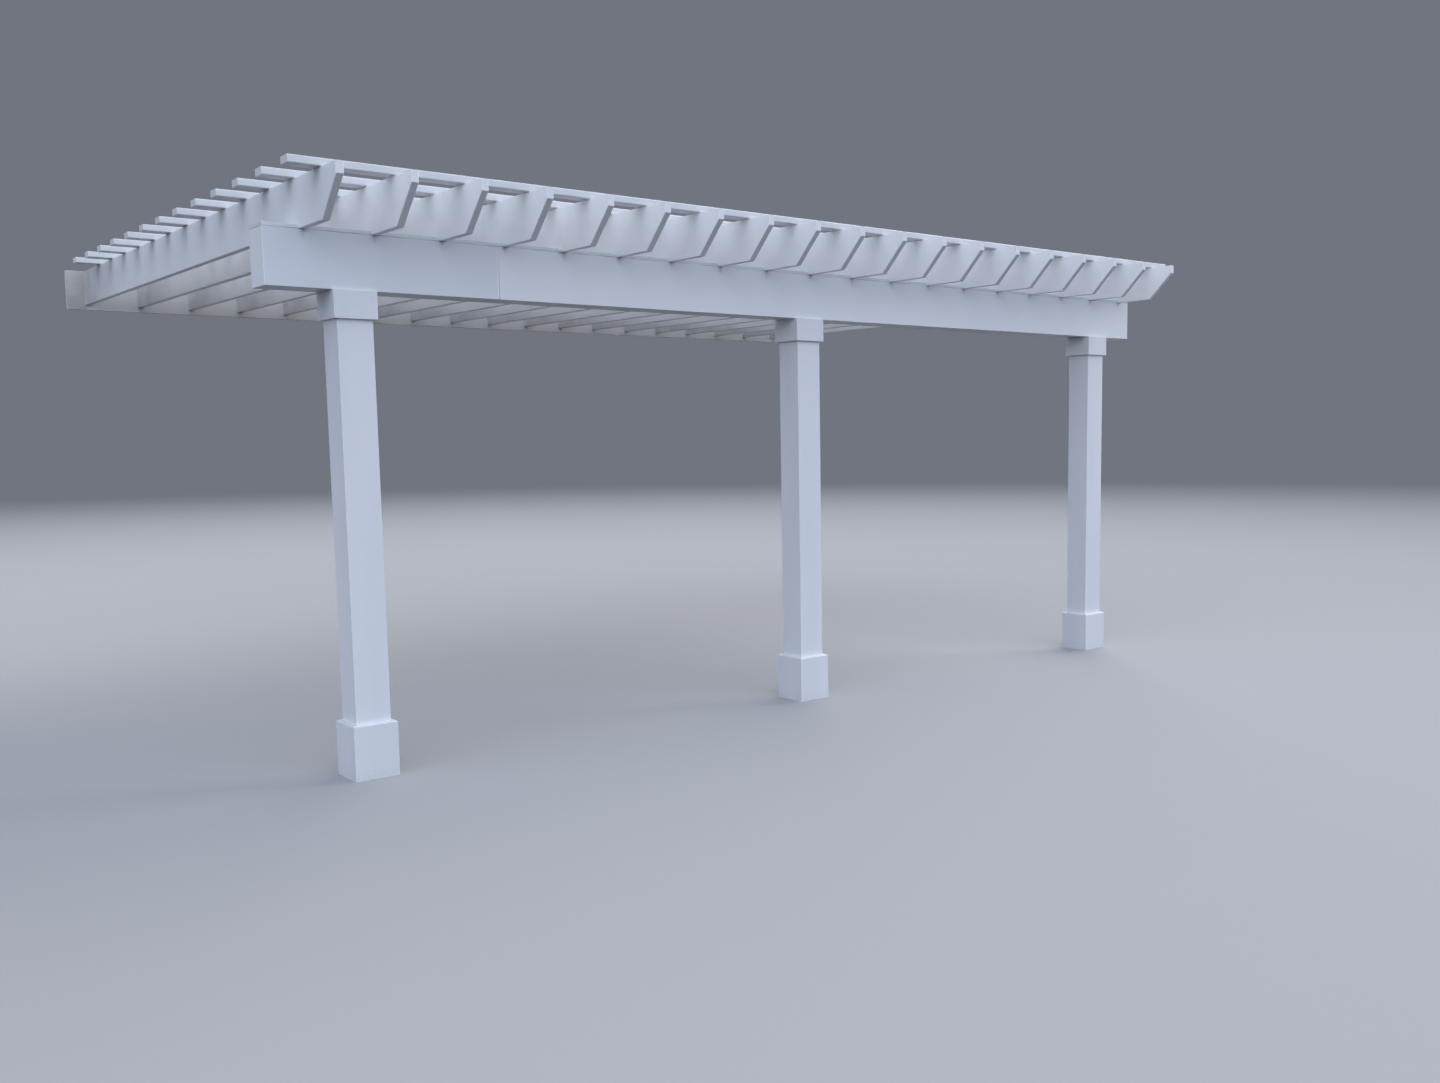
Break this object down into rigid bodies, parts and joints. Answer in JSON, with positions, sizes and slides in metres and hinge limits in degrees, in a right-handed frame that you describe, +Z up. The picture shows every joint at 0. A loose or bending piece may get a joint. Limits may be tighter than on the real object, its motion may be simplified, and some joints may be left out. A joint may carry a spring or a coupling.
{
  "type": "wall-mounted pergola",
  "caption": "White wall-hung pergola with a ledger, one beam on square cased posts, raked-tail rafters and flat purlins laid across them.",
  "frame": {"origin": "middle of the ledger's back face, which lies against the wall", "axes": "+X to the right along the wall seen from the garden, +Y into the wall, +Z up"},
  "size_m": [6.845, 4.907, 3.026],
  "materials": {
    "white_cladding": "satin white vinyl cladding"
  },
  "bodies": {
    "root": {"ledger_board": "white_cladding", "beam_short_run": "white_cladding", "beam_long_run": "white_cladding", "left_post_shaft": "white_cladding", "left_post_base": "white_cladding", "left_post_capital": "white_cladding", "middle_post_shaft": "white_cladding", "middle_post_base": "white_cladding", "middle_post_capital": "white_cladding", "right_post_shaft": "white_cladding", "right_post_base": "white_cladding", "right_post_capital": "white_cladding", "rafter_01": "white_cladding", "rafter_02": "white_cladding", "rafter_03": "white_cladding", "rafter_04": "white_cladding", "rafter_05": "white_cladding", "rafter_06": "white_cladding", "rafter_07": "white_cladding", "rafter_08": "white_cladding", "rafter_09": "white_cladding", "rafter_10": "white_cladding", "rafter_11": "white_cladding", "rafter_12": "white_cladding", "rafter_13": "white_cladding", "rafter_14": "white_cladding", "rafter_15": "white_cladding", "rafter_16": "white_cladding", "rafter_17": "white_cladding", "rafter_18": "white_cladding", "rafter_19": "white_cladding", "purlin_01": "white_cladding", "purlin_02": "white_cladding", "purlin_03": "white_cladding", "purlin_04": "white_cladding", "purlin_05": "white_cladding", "purlin_06": "white_cladding", "purlin_07": "white_cladding", "purlin_08": "white_cladding", "purlin_09": "white_cladding", "purlin_10": "white_cladding", "purlin_11": "white_cladding", "purlin_12": "white_cladding", "purlin_13": "white_cladding"}
  },
  "joints": []
}
